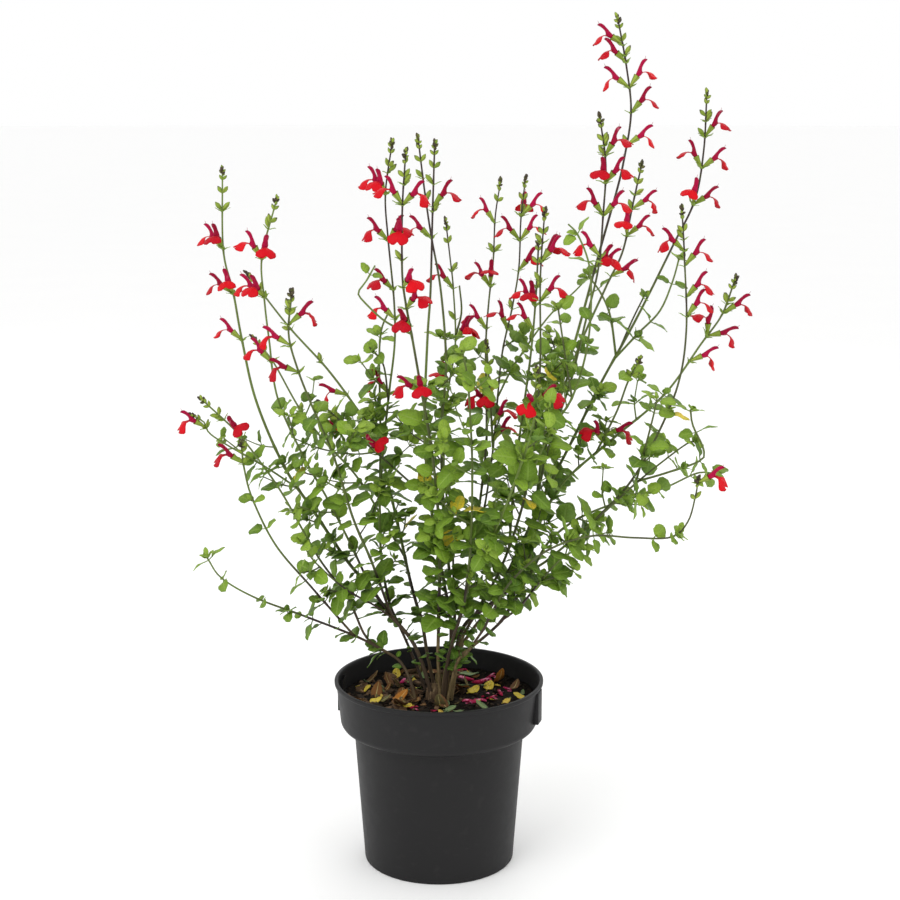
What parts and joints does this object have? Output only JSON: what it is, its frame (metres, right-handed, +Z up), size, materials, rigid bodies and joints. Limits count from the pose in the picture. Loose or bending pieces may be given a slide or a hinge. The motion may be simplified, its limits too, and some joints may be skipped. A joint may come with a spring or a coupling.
{
  "type": "potted hot lips sage",
  "caption": "Small branching sage shrub with red two-lipped flowers and crenate leaves, growing in a round nursery pot of bark mix.",
  "frame": {"origin": "middle of the underside of the pot", "axes": "+Z up the plant, +X to the viewer's right, the viewer at -Y"},
  "size_m": [0.5359, 0.363, 0.811],
  "materials": {
    "pot": "satin charcoal",
    "soil": "rough bark mix",
    "stem": "brown at the foot, green above",
    "petal_fallen": "matte, wilted",
    "leaf_fallen": "matte, yellowed",
    "leaf": "matte with a faint sheen",
    "petal": "velvety",
    "calyx": "matte, purple ribs"
  },
  "bodies": {
    "root": {"pot": "pot", "soil": "soil", "stem_left_low": "stem", "stem_left": "stem", "stem_back_left": "stem", "stem_inner_left": "stem", "stem_front_middle": "stem", "stem_middle": "stem", "stem_middle_back": "stem", "stem_back": "stem", "stem_right_inner": "stem", "stem_right_tall": "stem", "stem_right_back": "stem", "stem_right_front": "stem", "stem_low_curved": "stem", "stem_front": "stem", "fallen_corolla_far": "petal_fallen", "fallen_corolla_near": "petal_fallen", "fallen_corolla_left": "petal_fallen", "fallen_leaf_right": "leaf_fallen", "fallen_leaf_edge": "leaf_fallen", "fallen_leaf_left": "leaf_fallen"}
  },
  "joints": []
}
